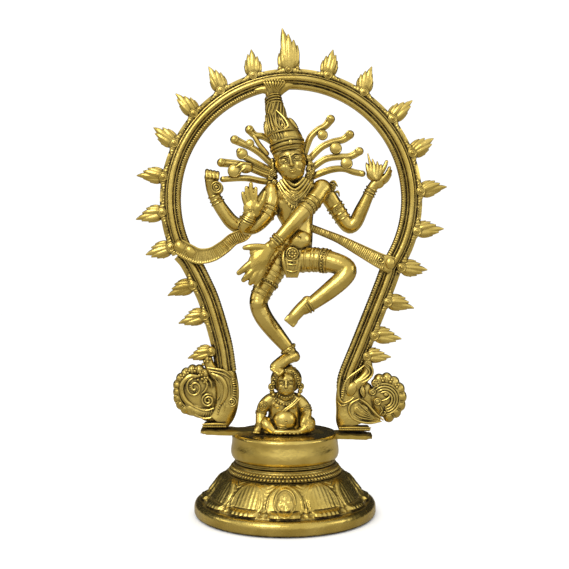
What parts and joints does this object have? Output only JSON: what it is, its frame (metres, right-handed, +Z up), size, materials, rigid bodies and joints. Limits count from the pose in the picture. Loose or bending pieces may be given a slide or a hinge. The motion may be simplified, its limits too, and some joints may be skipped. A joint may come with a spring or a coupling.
{
  "type": "brass nataraja statue",
  "caption": "Cast brass statue of a four-armed dancer in a ring of nineteen flames, standing on a seated dwarf, on a round hollow lotus pedestal.",
  "frame": {"origin": "on the standing surface, under the middle of the statue's box", "axes": "+Z up, the dancer faces -Y, +X to the viewer's right when seen from the front"},
  "size_m": [0.1599, 0.09, 0.2407],
  "materials": {
    "polished_brass": "polished",
    "antique_brass": "satin",
    "brushed_steel": "brushed"
  },
  "bodies": {
    "root": {"arch_foot_bar": "antique_brass", "arch_leg_left": "antique_brass", "arch_leg_right": "antique_brass", "arch_ring": "antique_brass", "back_left_arm": "polished_brass", "back_right_arm": "polished_brass", "bead_collar": "polished_brass", "crown": "antique_brass", "crown_bracket": "antique_brass", "dwarf_body": "polished_brass", "dwarf_head": "polished_brass", "flame_01": "polished_brass", "flame_02": "polished_brass", "flame_03": "polished_brass", "flame_04": "polished_brass", "flame_05": "polished_brass", "flame_06": "polished_brass", "flame_07": "polished_brass", "flame_08": "polished_brass", "flame_09": "polished_brass", "flame_10": "polished_brass", "flame_11": "polished_brass", "flame_12": "polished_brass", "flame_13": "polished_brass", "flame_14": "polished_brass", "flame_15": "polished_brass", "flame_16": "polished_brass", "flame_17": "polished_brass", "flame_18": "polished_brass", "flame_19": "polished_brass", "foot_moulding_left": "antique_brass", "foot_moulding_right": "antique_brass", "front_left_arm": "polished_brass", "front_right_arm": "polished_brass", "hair_left": "antique_brass", "hair_right": "antique_brass", "hand_drum": "polished_brass", "hand_flame": "polished_brass", "head": "polished_brass", "hold_down_screw": "brushed_steel", "hold_down_washer": "brushed_steel", "lotus_skirt": "polished_brass", "peacock_left": "polished_brass", "peacock_right": "polished_brass", "peacock_tail_left": "polished_brass", "peacock_tail_right": "polished_brass", "pedestal_drum": "polished_brass", "raised_leg": "polished_brass", "sash_left": "polished_brass", "sash_right": "polished_brass", "standing_leg": "polished_brass", "torso": "polished_brass", "waist_belt": "polished_brass"}
  },
  "joints": []
}
